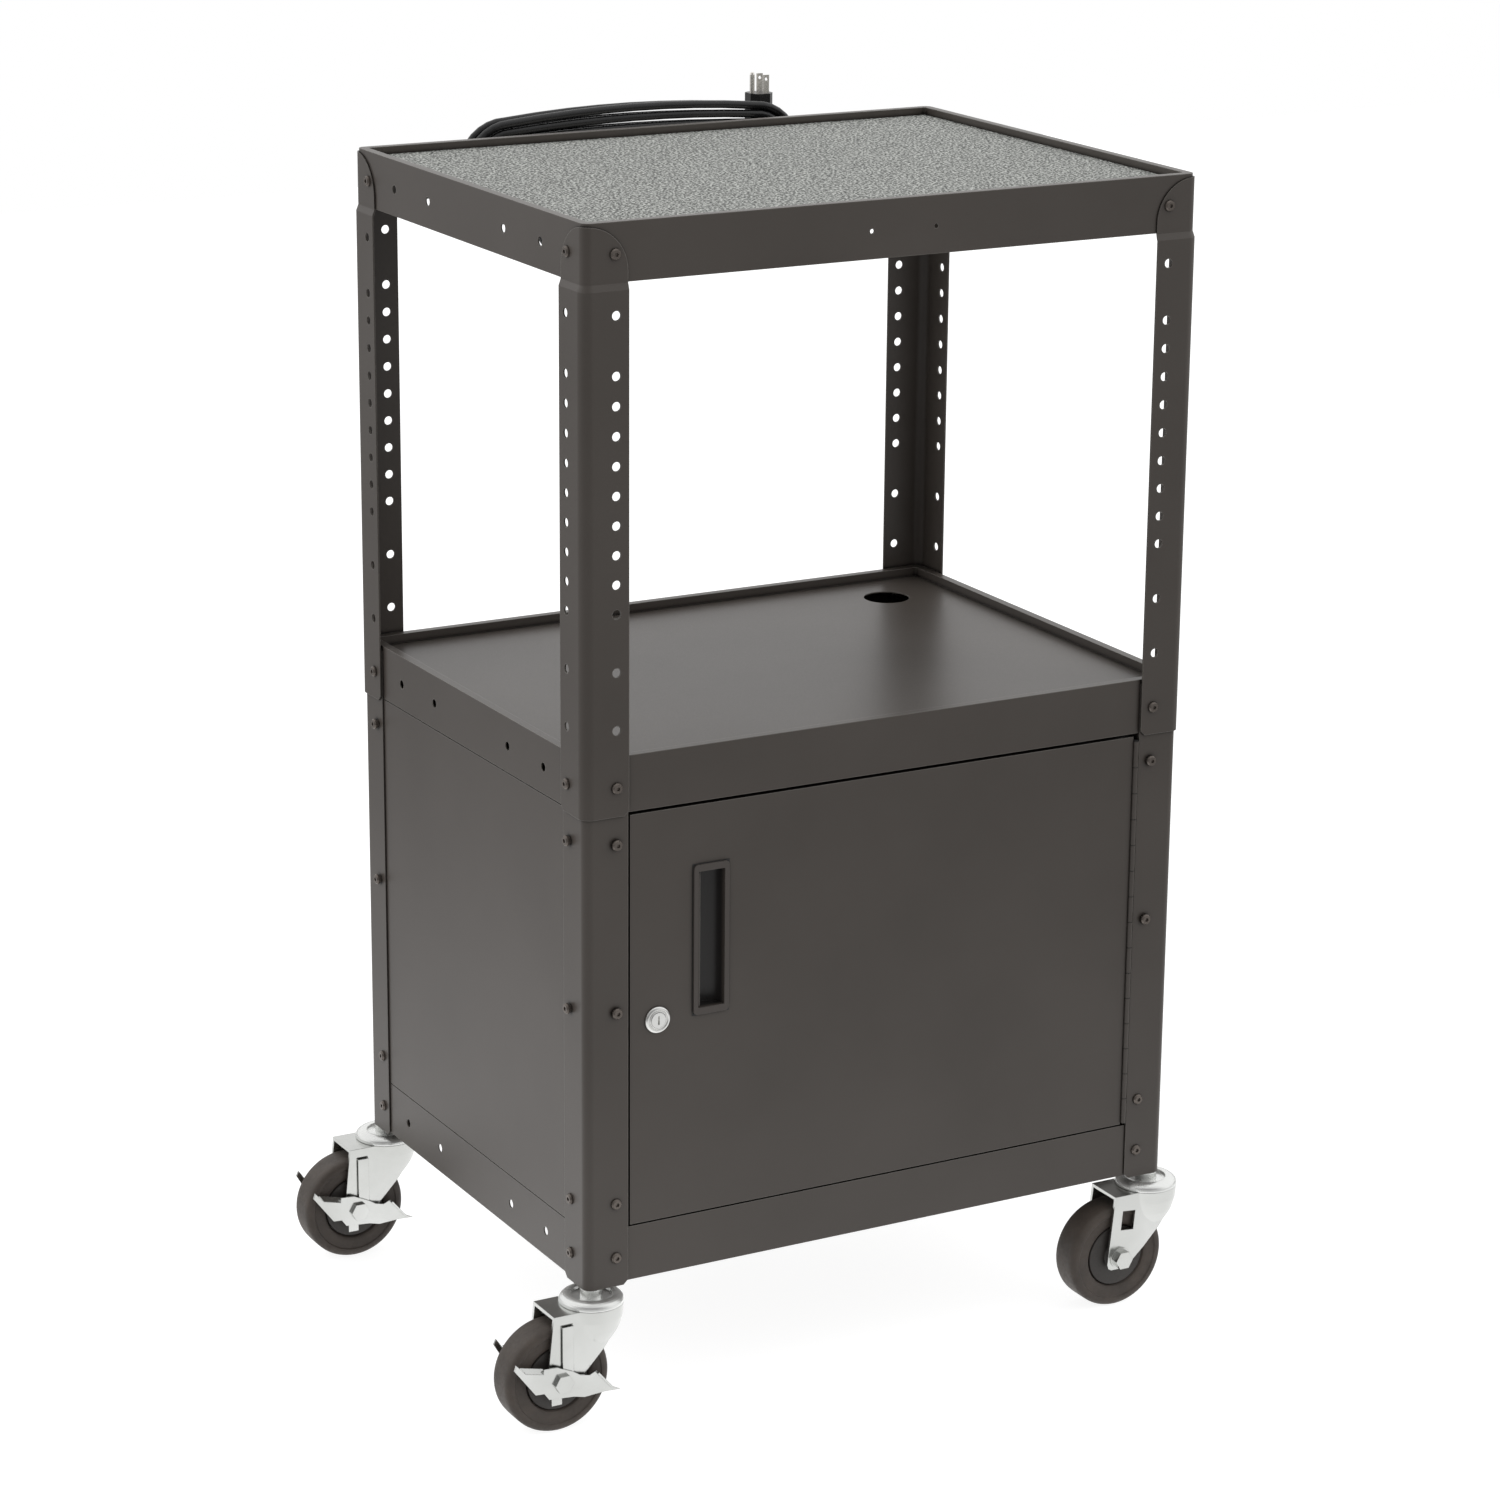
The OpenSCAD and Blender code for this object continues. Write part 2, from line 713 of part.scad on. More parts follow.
module hinge_pin() {
    color(powder) placed() {
        translate([hinge_x, hinge_y, hinge_z0]) cylinder(d = hinge_pin_d, h = hinge_z1 - hinge_z0);
        translate([hinge_x, hinge_y, hinge_z1 - hinge_gap]) cylinder(r = pin_head_r, h = leaf_t);
    }
}

// door

module door_panel() {
    color(powder) placed() difference() {
        box(door_x0, door_x1, -skirt_y, -skirt_y + pan_depth, door_z0, door_z1);
        box(door_x0 + panel_t, door_x1 - panel_t, -skirt_y + panel_t, -skirt_y + pan_depth + over,
            door_z0 + panel_t, door_z1 - panel_t);
        front_plate(pocket_x, handle_z, pocket_w + 2 * (cup_wall + seat), pocket_h + 2 * (cup_wall + seat),
            cup_wall + seat, -skirt_y - over, -skirt_y + over);
        y_rod(lock_x, lock_z, lock_body_r + seat, -skirt_y - over, -skirt_y + over);
    }
}

// recessed pull: a bezel on the door and a pocket whose right wall is a quarter round
module handle_cup() {
    left = pocket_x - pocket_w / 2;
    right = pocket_x + pocket_w / 2;
    color(black) placed() difference() {
        union() {
            front_plate(handle_x, handle_z, handle_w, handle_h, handle_r, -skirt_y - handle_proud, -skirt_y);
            front_plate(pocket_x, handle_z, pocket_w + 2 * cup_wall, pocket_h + 2 * cup_wall, cup_wall,
                -skirt_y - handle_proud / 2, -skirt_y + pocket_depth + cup_wall);
        }
        box(left, right - pocket_depth, -skirt_y - over, -skirt_y + pocket_depth,
            handle_z - pocket_h / 2, handle_z + pocket_h / 2);
        box(left, right, -skirt_y - over, -skirt_y, handle_z - pocket_h / 2, handle_z + pocket_h / 2);
        translate([right - pocket_depth, -skirt_y, handle_z - pocket_h / 2])
            cylinder(r = pocket_depth, h = pocket_h);
    }
}

module lock_housing() {
    color(zinc) placed() difference() {
        union() {
            translate([lock_x, -skirt_y, lock_z]) rotate([90, 0, 0])
                cylinder(r1 = lock_d / 2, r2 = lock_d / 2 - lock_proud / 3, h = lock_proud, $fn = 48);
            y_rod(lock_x, lock_z, lock_body_r, -skirt_y - lock_proud / 3, -skirt_y + lock_body_l);
        }
        y_rod(lock_x, lock_z, core_r + seat, -skirt_y - over, -skirt_y + lock_body_l + over);
    }
}

module lock_nut() {
    color(zinc) placed() difference() {
        translate([lock_x, -skirt_y + panel_t + lock_nut_h, lock_z]) rotate([90, 0, 0])
            cylinder(r = lock_nut_r, h = lock_nut_h, $fn = 6);
        y_rod(lock_x, lock_z, lock_body_r + seat, -skirt_y - over, -skirt_y + panel_t + lock_nut_h + over);
    }
}

module lock_cylinder() {
    color(zinc) placed() difference() {
        y_rod(lock_x, lock_z, core_r, -skirt_y - lock_proud, cam_y);
        box(lock_x - key_w / 2, lock_x + key_w / 2, -skirt_y - lock_proud - over,
            -skirt_y - lock_proud + key_depth, lock_z - key_h / 2, lock_z + key_h / 2);
    }
}

module lock_cam() {
    color(zinc) placed() {
        y_rod(lock_x, lock_z, cam_r, cam_y, cam_y + cam_t);
        y_rod(lock_x, lock_z - cam_l + cam_r, cam_r, cam_y, cam_y + cam_t);
        box(lock_x - cam_r, lock_x + cam_r, cam_y, cam_y + cam_t, lock_z - cam_l + cam_r, lock_z);
        y_rod(lock_x, lock_z, screw_r, cam_y + cam_t, cam_y + 2 * cam_t);
    }
}

// casters

// moves a child from the stem's axis to its corner
module at_stem(sx, sy) {
    color(zinc) placed() translate([sx * stem_x, sy * stem_y, 0]) children();
}

module at_axle(sx, sy, tint) {
    color(tint) placed() translate([sx * stem_x - trail, sy * stem_y, wheel_r]) children();
}

// kingpin, raceway dome, collar and threaded stem, fixed in the bottom tray's corner
module caster_stem(sx, sy) {
    at_stem(sx, sy) {
        z = fork_top + race_gap;
        translate([0, 0, fork_top - fork_t - race_gap - rivet_h]) cylinder(r = rivet_r, h = rivet_h);
        translate([0, 0, fork_top - fork_t - 2 * race_gap])
            cylinder(r = kingpin_r, h = fork_t + 4 * race_gap);
        translate([0, 0, z]) rotate_extrude($fn = 64) polygon(concat([[0, 0], [dome_r, 0]],
            [for (a = [0:15:90]) [dome_flat + (dome_r - dome_flat) * cos(a),
                dome_edge + (dome_h - dome_edge) * sin(a)]],
            [[dome_in + dome_edge, dome_h - dome_edge / 2], [dome_in, dome_h - dome_sink],
                [0, dome_h - dome_sink]]));
        translate([0, 0, z + dome_edge])
            cylinder(r = collar_r, h = foot_z - race_gap - z - dome_edge);
        translate([0, 0, z + dome_h]) cylinder(r = neck_r, h = bottom_z - z - dome_h);
        translate([0, 0, z + dome_h]) cylinder(r = stem_r, h = bottom_z + weld_nut_h - z - dome_h);
    }
}

// outside of the fork: flat sides, round behind, flaring into a bowl under the dome
module fork_outside() {
    translate([0, 0, -fork_nose_r]) linear_extrude(fork_h + fork_nose_r) {
        translate([-fork_reach / 2, 0]) square([fork_reach, fork_w], center = true);
        circle(fork_w / 2);
    }
    foot_r = fork_w / 2 - bowl_sink;
    rotate_extrude($fn = 64) polygon(concat([[0, fork_h - bowl_low]],
        [for (p = bowl_shares) [foot_r + (bowl_r - foot_r) * p[0], fork_h - bowl_low * p[1]]],
        [[bowl_r, fork_h], [0, fork_h]]));
}

// inside of the fork: a slot for the wheel, round behind, widening under the top plate
module fork_inside() {
    half = fork_w / 2 - fork_t;
    z0 = -fork_nose_r - over;
    z1 = fork_h - fork_t;
    translate([-fork_reach - over, -half, z0]) cube([fork_reach + over, 2 * half, z1 - z0]);
    translate([0, 0, z0]) cylinder(r = half, h = z1 - z0);
    translate([0, 0, fork_h - bowl_inner])
        cylinder(r1 = half - bowl_sink, r2 = bowl_r - bowl_wall, h = bowl_inner - fork_t, $fn = 64);
}

// side view of the fork, extruded across it
module fork_side() {
    translate([-trail, 0, 0]) rotate([90, 0, 0]) linear_extrude(2 * dome_d, center = true)
        polygon([for (p = fork_shares) p * fork_h]);
}

module fork(sx, sy, brake) {
    at_stem(sx, sy) translate([0, 0, wheel_r]) difference() {
        intersection() {
            fork_outside();
            fork_side();
        }
        fork_inside();
        cylinder(r = kingpin_r + seat, h = 2 * fork_h);
        y_rod(-trail, 0, axle_d / 2 + seat, -fork_w, fork_w);
        if (brake) box(-trail + strip_x - strip_w / 2 - seat, -trail + strip_x + strip_w / 2 + seat,
            -fork_w, fork_w, strip_rise - 2 * strip_t, strip_rise + strip_t + seat);
        else translate([-trail + window_at[0], 0, window_at[1]]) rotate([0, window_lean, 0])
            cube([window_w, 2 * fork_w, window_h], center = true);
    }
}

module hex_head(y0, y1) {
    translate([0, y1, 0]) rotate([90, 0, 0]) cylinder(r = bolt_head_r, h = y1 - y0, $fn = 6);
}

// through bolt with its head to the front and its nut at the back
module axle_bolt(sx, sy, brake) {
    face = fork_w / 2 + (brake ? strip_gap + strip_t + lever_t : washer_t);
    at_axle(sx, sy, zinc) {
        y_rod(0, 0, axle_d / 2, -face, face + axle_nut_h);
        hex_head(-bolt_reach, -face);
        hex_head(face, face + axle_nut_h);
        if (!brake) for (s = [-1, 1]) y_rod(0, 0, washer_r,
            s * (face - washer_t / 2) - washer_t / 2, s * (face - washer_t / 2) + washer_t / 2);
    }
}

module wheel_hub(sx, sy) {
    web = tyre_w / 2 * hub_web_share;
    at_axle(sx, sy, rubber) difference() {
        union() {
            y_rod(0, 0, hub_d / 2, -web, web, $fn = 64);
            y_rod(0, 0, boss_r, -fork_w / 2 + fork_t + boss_gap, fork_w / 2 - fork_t - boss_gap);
        }
        y_rod(0, 0, axle_d / 2 + seat, -fork_w, fork_w);
    }
}

module tyre(sx, sy) {
    half = tyre_w / 2;
    inner = half * hub_web_share;
    at_axle(sx, sy, black) rotate([90, 0, 0]) rotate_extrude($fn = 96) polygon(concat(
        [[hub_d / 2, inner], [hub_d / 2, -inner]],
        [for (a = [-90:15:0]) [wheel_r - shoulder + shoulder * cos(a), -half + shoulder + shoulder * sin(a)]],
        [for (a = [0:15:90]) [wheel_r - shoulder + shoulder * cos(a), half - shoulder + shoulder * sin(a)]]));
}

// pair of brake levers on the axle bolt, one outside each fork leg
module brake_levers(sx, sy) {
    y0 = fork_w / 2 + strip_gap + strip_t;
    at_axle(sx, sy, zinc) difference() {
        for (s = [-1, 1]) rotate([0, s > 0 ? far_turn : 0, 0]) {
            translate([0, s * (y0 + lever_t / 2) + lever_t / 2, 0]) rotate([90, 0, 0])
                linear_extrude(lever_t) polygon(lever_l * lever_shares);
            translate([lever_l * tab_at_share[0], s * (y0 + lever_t / 2), lever_l * tab_at_share[1]])
                rotate([0, tab_turn, 0]) rotate([90 + s * tab_lean, 0, 0])
                linear_extrude(lever_t, center = true) polygon(lever_l * tab_shares);
            translate([lever_l * pedal_at_share[0], s * (y0 + (lever_t + pedal_reach) / 2),
                lever_l * pedal_at_share[1]]) rotate([0, pedal_lean, 0])
                cube([lever_l * pedal_share, lever_t + pedal_reach, lever_t], center = true);
        }
        y_rod(0, 0, axle_d / 2 + seat, -fork_w, fork_w);
    }
}

// spring strip over the tyre, out through both fork legs and down to a boss on the bolt
module brake_strip(sx, sy) {
    y0 = fork_w / 2;
    y1 = y0 + strip_gap;
    at_axle(sx, sy, zinc) difference() {
        union() {
            box(strip_x - strip_w / 2, strip_x + strip_w / 2, -y1 - strip_t, y1 + strip_t,
                strip_rise - strip_t, strip_rise);
            for (s = [-1, 1]) {
                translate([strip_x, s * (y1 + strip_t / 2), (strip_rise - strip_end) / 2])
                    cube([strip_w, strip_t, strip_rise + strip_end], center = true);
                translate([nub_x, s * (y1 + strip_t / 2), -nub_low / 2])
                    cube([nub_w, strip_t, nub_low], center = true);
                y_rod(0, 0, strip_end, s * (y0 + y1 + strip_t) / 2 - (strip_gap + strip_t) / 2,
                    s * (y0 + y1 + strip_t) / 2 + (strip_gap + strip_t) / 2);
            }
        }
        y_rod(0, 0, axle_d / 2 + seat, -fork_w, fork_w);
    }
}

// outlet unit

module power_housing() {
    color("#c8c6c0") placed() difference() {
        front_plate(0, power_z, power_l, power_h, power_r, skirt_y, power_y);
        box(-block_w / 2, block_w / 2, power_y - block_in, power_y + over,
            power_z - block_drop - block_h / 2, power_z - block_drop + block_h / 2);
    }
}

module outlet_block() {
    z = power_z - block_drop;
    color(black) placed() difference() {
        box(-block_w / 2, block_w / 2, power_y - block_in, power_y + block_out,
            z - block_h / 2, z + block_h / 2);
        for (x = outlet_xs) {
            for (s = [-1, 1]) translate([x + s * slot_dx, power_y + block_out, z + slot_h / 2])
                cube([slot_w, 2 * slot_deep, slot_h], center = true);
            y_rod(x, z - slot_h, ground_r, power_y + block_out - slot_deep, power_y + over);
        }
    }
}

// end caps with hollow posts that the cord is wound on, and a clip for the plug
module cord_cleats() {
    color(black) placed() {
        for (s = [-1, 1]) {
            front_plate(s * (power_l + cap_w) / 2, power_z, cap_w, power_h, power_r,
                skirt_y, power_y);
            difference() {
                y_rod(s * hank_x, hank_z, post_r, power_y, power_y + post_l);
                y_rod(s * hank_x, hank_z, post_r - post_wall, power_y + post_wall, power_y + post_l + over);
            }
            y_rod(s * hank_x, hank_z, lip_r, power_y + post_l, power_y + post_l + lip_t);
        }
        difference() {
            union() {
                translate([plug_at[0], plug_at[1], plug_neck_z + lip_t]) cylinder(r = clip_r, h = clip_h);
                box(plug_at[0] - clip_r / 2, plug_at[0] + clip_r / 2, power_y + post_l, plug_at[1],
                    plug_neck_z + lip_t, plug_neck_z + lip_t + clip_h);
            }
            translate([plug_at[0], plug_at[1], plug_neck_z - over])
                cylinder(r = plug_neck_r, h = clip_h + 3 * over);
            box(plug_at[0] - 2 * clip_r, plug_at[0] + 2 * clip_r, plug_at[1] + clip_wrap,
                plug_at[1] + 2 * clip_r, plug_neck_z, plug_neck_z + 2 * lip_t + clip_h);
        }
    }
}

module strain_relief() {
    color(black) placed() translate([gland_at[0], gland_at[1], power_z - power_h / 2 - gland_l])
        cylinder(r1 = gland_tip_r, r2 = gland_r, h = gland_l);
}

// tube swept along points, its end faces square to e0 and e1 where they are given
module tube(p, r, n, e0 = [0, 0, 0], e1 = [0, 0, 0]) {
    m = len(p);
    rings = [for (i = [0:m - 1])
        ring(p[i], i == 0 && norm(e0) > 0 ? e0 : i == m - 1 && norm(e1) > 0 ? e1 : tangent(p, i), r, n)];
    points = [for (q = rings) for (c = q) c];
    sides = [for (i = [0:m - 2]) for (k = [0:n - 1])
        let (a = i * n + k, b = i * n + (k + 1) % n) each [[a, a + n, b], [b, a + n, b + n]]];
    starts = [for (k = [1:n - 2]) [0, k, k + 1]];
    ends = [for (k = [1:n - 2]) [(m - 1) * n, (m - 1) * n + k + 1, (m - 1) * n + k]];
    polyhedron(points = points, faces = concat(sides, starts, ends));
}

module cord_lead() {
    color(black) placed() {
        tube(lead_points, cord_r, cord_sides, [0, 0, -1], [1, 0, 0]);
        tube(tail_points, cord_r, cord_sides, [1, 0, 0], [0, 0, 1]);
    }
}

module cord_hank() {
    color(black) placed() tube(hank_points, cord_r, hank_sides, [1, 0, 0], [1, 0, 0]);
}

module plug_body() {
    z = plug_neck_z + plug_neck_l;
    color(black) placed() translate([plug_at[0], plug_at[1], 0]) {
        translate([0, 0, plug_neck_z]) cylinder(r = plug_neck_r, h = plug_neck_l);
        translate([0, 0, z]) cylinder(r1 = plug_neck_r, r2 = plug_cone_r, h = plug_cone_l);
        translate([0, 0, z + plug_cone_l]) linear_extrude(plug_h) polygon(plug_w * plug_shares);
    }
}

module plug_prongs() {
    z = plug_neck_z + plug_neck_l + plug_cone_l + plug_h;
    color(zinc) placed() translate([plug_at[0], plug_at[1], z]) {
        for (s = [-1, 1]) difference() {
            translate([s * blade_dx - blade_t / 2, -blade_w / 2 - pin_dy / 2, 0])
                cube([blade_t, blade_w, blade_l]);
            translate([0, -pin_dy / 2, blade_l - blade_hole_down]) rotate([0, 90, 0])
                cylinder(r = blade_hole_r, h = plug_w, center = true);
        }
        translate([0, pin_dy, 0]) cylinder(r = pin_r, h = pin_l);
    }
}

lower_leg(-1, -1);  // lower_leg_front_left
lower_leg(1, -1);  // lower_leg_front_right
lower_leg(-1, 1);  // lower_leg_back_left
lower_leg(1, 1);  // lower_leg_back_right
middle_shelf();
bottom_shelf();
side_panel(-1);  // side_panel_left
side_panel(1);  // side_panel_right
back_panel();
hinge_leaf_frame();
hinge_pin();
lower_frame_screws();
lower_frame_nuts();
caster_stem(-1, -1);  // caster_stem_front_left
caster_stem(1, -1);  // caster_stem_front_right
caster_stem(-1, 1);  // caster_stem_back_left
caster_stem(1, 1);  // caster_stem_back_right
top_shelf();
shelf_mat();
upper_leg(-1, -1);  // upper_leg_front_left
upper_leg(1, -1);  // upper_leg_front_right
upper_leg(-1, 1);  // upper_leg_back_left
upper_leg(1, 1);  // upper_leg_back_right
top_screws();
top_nuts();
power_housing();
outlet_block();
cord_cleats();
strain_relief();
cord_lead();
cord_hank();
plug_body();
plug_prongs();
door_panel();
handle_cup();
hinge_leaf_door();
lock_housing();
lock_nut();
lock_cylinder();
lock_cam();
fork(-1, -1, true);  // fork_front_left
fork(1, -1, false);  // fork_front_right
fork(-1, 1, true);  // fork_back_left
fork(1, 1, false);  // fork_back_right
axle_bolt(-1, -1, true);  // axle_bolt_front_left
axle_bolt(1, -1, false);  // axle_bolt_front_right
axle_bolt(-1, 1, true);  // axle_bolt_back_left
axle_bolt(1, 1, false);  // axle_bolt_back_right
wheel_hub(-1, -1);  // wheel_hub_front_left
wheel_hub(1, -1);  // wheel_hub_front_right
wheel_hub(-1, 1);  // wheel_hub_back_left
wheel_hub(1, 1);  // wheel_hub_back_right
tyre(-1, -1);  // tyre_front_left
tyre(1, -1);  // tyre_front_right
tyre(-1, 1);  // tyre_back_left
tyre(1, 1);  // tyre_back_right
brake_levers(-1, -1);  // brake_levers_front_left
brake_levers(-1, 1);  // brake_levers_back_left
brake_strip(-1, -1);  // brake_strip_front_left
brake_strip(-1, 1);  // brake_strip_back_left
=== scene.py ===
"""Looks of a projector cart: materials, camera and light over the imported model, and its wound cord.

Lengths are in metres in the row frame: +Z up, the door faces -Y. Shapes are written in millimetres
and go through cart() or MM.
"""
import bpy
import bmesh
from math import atan2, cos, sin, pi, radians
from mathutils import Matrix, Vector


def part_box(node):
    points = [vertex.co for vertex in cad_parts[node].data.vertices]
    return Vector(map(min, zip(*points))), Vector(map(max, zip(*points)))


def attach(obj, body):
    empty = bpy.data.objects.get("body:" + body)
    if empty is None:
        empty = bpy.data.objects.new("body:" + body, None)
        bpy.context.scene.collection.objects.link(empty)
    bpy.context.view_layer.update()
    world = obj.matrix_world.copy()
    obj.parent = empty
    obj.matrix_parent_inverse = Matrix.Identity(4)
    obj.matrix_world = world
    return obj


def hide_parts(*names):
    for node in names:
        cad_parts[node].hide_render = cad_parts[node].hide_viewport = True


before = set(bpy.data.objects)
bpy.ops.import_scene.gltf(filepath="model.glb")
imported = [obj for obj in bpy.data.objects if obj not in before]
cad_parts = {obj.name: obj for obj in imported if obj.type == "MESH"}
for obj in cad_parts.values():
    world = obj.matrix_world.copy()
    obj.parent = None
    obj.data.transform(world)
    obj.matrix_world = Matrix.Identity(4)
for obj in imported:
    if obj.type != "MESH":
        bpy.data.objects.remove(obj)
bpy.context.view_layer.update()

MM = 0.001
# the cart's own centre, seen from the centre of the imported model's box
CART_AT = Vector((30.375, -25.125, 0)) * MM


def cart(x, y, z):
    """A point given in millimetres from the cart's centre line, as part.scad's sizes are."""
    return Vector((x, y, z)) * MM + CART_AT


# the camera's place and directions, fitted to the photo's corners and screws
CAMERA_AT = cart(-1874.2, -3357.9, 1667.5)
CAMERA_FORWARD = Vector((0.46391, 0.83831, -0.28639))
CAMERA_RIGHT = Vector((0.87611, -0.48204, 0.00816))
SENSOR_MM = 36.0
IMAGE_PX = 1500
FOCAL_PX = 4329.2


def make_camera():
    data = bpy.data.cameras.new("camera")
    data.sensor_width = SENSOR_MM
    data.lens = FOCAL_PX / IMAGE_PX * SENSOR_MM
    data.dof.use_dof = False
    forward = CAMERA_FORWARD.normalized()
    right = (CAMERA_RIGHT - forward * CAMERA_RIGHT.dot(forward)).normalized()
    up = right.cross(forward)
    obj = bpy.data.objects.new("camera", data)
    axes = Matrix((right, up, -forward)).transposed()
    obj.matrix_world = Matrix.Translation(CAMERA_AT) @ axes.to_4x4()
    bpy.context.scene.collection.objects.link(obj)
    bpy.context.scene.camera = obj


make_camera()

# supply cord, from the gland through the wound loops to the plug
CORD_D = 7.5 * MM
GLAND_TIP = (-110, 245, 988)
LEAD_POINTS = [GLAND_TIP, (-110, 245, 980), (-108, 245, 969), (-102, 245.5, 960),
    (-93, 246.5, 953), (-82, 248.5, 950), (-68, 252, 949.5), (-50, 257, 954),
    (-34, 261.5, 961), (-20, 264.5, 968), (-8, 266, 972)]
TAIL_POINTS = [(8, 274.2, 972), (30, 276, 972), (55, 283, 971.5), (80, 291, 971.5),
    (100, 295, 971.5), (116, 296, 972), (125, 296, 973), (134, 296, 977), (142, 296, 983),
    (148, 296, 991), (151, 296, 999), (152, 296, 1006), (152, 296, 1010)]
HANK_TURNS = 6
# half the length of a straight run, the loops' middle height, and the two layers' places along Y
HANK_X = 130
HANK_Z = 1028
HANK_LAYERS = (266, 274.2)
# radius of the innermost loop's ends, and what each further turn adds
TURN_R = 24
TURN_STEP = 8.2
# how far the runs bow out, as a share, and the part of a turn in which the cord changes layer
BOW = 0.15
CLIMB = 0.25
# a turn's parts: half the lower run, an end, the upper run, the other end, half the lower run
HALF_RUN = 2
END_ARC = 8
TURN_PARTS = 4 * HALF_RUN + 2 * END_ARC
ARC_STEP = 180 / END_ARC
# points of the cord on each turn, and between two given points of its lead and tail
TURN_POINTS = 48
LEAD_STEPS = 4
# steps in a quarter of the cord's round section, less one
CORD_ROUNDNESS = 4


def hank_point(u):
    """Centre of the cord after u turns, wound in and then out again in a second layer."""
    b = TURN_R + TURN_STEP * abs(u - HANK_TURNS / 2)
    f = (u % 1.0) * TURN_PARTS
    upper_run = HALF_RUN + END_ARC
    second_end = upper_run + 2 * HALF_RUN
    if f < HALF_RUN:
        x, z = HANK_X * f / HALF_RUN, -b
    elif f < upper_run:
        a = radians(ARC_STEP * (f - HALF_RUN - END_ARC / 2))
        x, z = HANK_X + b * cos(a), b * sin(a)
    elif f < second_end:
        x, z = HANK_X * (upper_run + HALF_RUN - f) / HALF_RUN, b
    elif f < second_end + END_ARC:
        a = radians(ARC_STEP * (f - second_end - END_ARC / 2))
        x, z = -HANK_X - b * cos(a), -b * sin(a)
    else:
        x, z = HANK_X * (f - TURN_PARTS) / HALF_RUN, -b
    bow = 1 + BOW * max(0, 1 - (x / HANK_X) ** 2)
    climb = min(1, max(0, (u - HANK_TURNS / 2) / (2 * CLIMB) + 0.5))
    y = HANK_LAYERS[0] + (HANK_LAYERS[1] - HANK_LAYERS[0]) * climb
    return (x, y, HANK_Z + z * bow)


def smooth(points):
    """Points on a Catmull-Rom curve through the given ones."""
    out = []
    last = len(points) - 1
    for i in range(last):
        p0, p1, p2, p3 = (Vector(points[min(max(k, 0), last)]) for k in (i - 1, i, i + 1, i + 2))
        for s in range(LEAD_STEPS):
            t = s / LEAD_STEPS
            out.append(0.5 * (2 * p1 + (p2 - p0) * t + (2 * p0 - 5 * p1 + 4 * p2 - p3) * t ** 2
                + (3 * p1 - p0 - 3 * p2 + p3) * t ** 3))
    out.append(Vector(points[last]))
    return out


def link(name, data, body):
    obj = bpy.data.objects.new(name, data)
    bpy.context.scene.collection.objects.link(obj)
    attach(obj, body)
    return obj


def make_cord():
    hank = [hank_point(i / TURN_POINTS) for i in range(HANK_TURNS * TURN_POINTS + 1)]
    lead = smooth(LEAD_POINTS + [hank[0]])
    tail = smooth([hank[-1]] + TAIL_POINTS)
    points = [cart(*p) for p in lead[:-1] + hank + tail[1:]]
    curve = bpy.data.curves.new("supply_cord", "CURVE")
    curve.dimensions = "3D"
    spline = curve.splines.new("POLY")
    spline.points.add(len(points) - 1)
    for target, p in zip(spline.points, points):
        target.co = (*p, 1)
        # the curve's box takes in this radius, so it holds the size and the bevel's depth is 1
        target.radius = CORD_D / 2
    curve.bevel_depth = 1.0
    curve.bevel_resolution = CORD_ROUNDNESS
    curve.use_fill_caps = True
    obj = link("supply_cord", curve, "upper_frame")
    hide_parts("cord_lead", "cord_hank")
    return obj


def skin(bm, loops, closed=True):
    """Joins each ring of points to the next, and the last to the first if closed."""
    pairs = list(zip(loops, loops[1:] + loops[:1]))
    for loop, after in pairs if closed else pairs[:-1]:
        for k in range(len(loop)):
            m = (k + 1) % len(loop)
            bm.faces.new((loop[k], loop[m], after[m], after[k]))


def finish_mesh(bm, name, smooth_angle=None):
    """The mesh of bm, with its faces turned outward; edges sharper than the angle stay sharp."""
    bmesh.ops.recalc_face_normals(bm, faces=bm.faces)
    for face in bm.faces:
        face.smooth = smooth_angle is not None
    mesh = bpy.data.meshes.new(name)
    bm.to_mesh(mesh)
    bm.free()
    if smooth_angle is not None:
        mesh.set_sharp_from_angle(angle=radians(smooth_angle))
    return mesh


# plug: its place, the height of its face, and the sizes of its blades and round pin
PLUG_X = 152
PLUG_Y = 296
PRONG_Z = 1080
BLADE_W = 6.3
BLADE_T = 1.5
BLADE_L = 17.5
BLADE_X = 3.5
BLADE_Y = 6.35
HOLE_R = 1.6
HOLE_DOWN = 4
HOLE_SIDES = 32
PIN_X = -8
PIN_SIDES = 24
# radius and height over the plug's face
PIN_RINGS = [(2.4, 0), (2.4, 17.5), (1.7, 19.4), (0.8, 20)]
TINY = 1e-6
FAR = 1e6


def blade_outline(hole_z):
    """Offsets from the hole's centre to the blade's edge, and to the hole's, at the same angles."""
    left, right, low, high = -BLADE_W / 2, BLADE_W / 2, PRONG_Z - hole_z, HOLE_DOWN
    angles = [2 * pi * i / HOLE_SIDES for i in range(HOLE_SIDES)]
    angles += [atan2(z, x) % (2 * pi) for x in (left, right) for z in (low, high)]
    edge, hole = [], []
    for a in sorted(angles):
        reach_x = (right if cos(a) > 0 else left) / cos(a) if abs(cos(a)) > TINY else FAR
        reach_z = (high if sin(a) > 0 else low) / sin(a) if abs(sin(a)) > TINY else FAR
        reach = min(reach_x, reach_z)
        edge.append((reach * cos(a), reach * sin(a)))
        hole.append((HOLE_R * cos(a), HOLE_R * sin(a)))
    return edge, hole


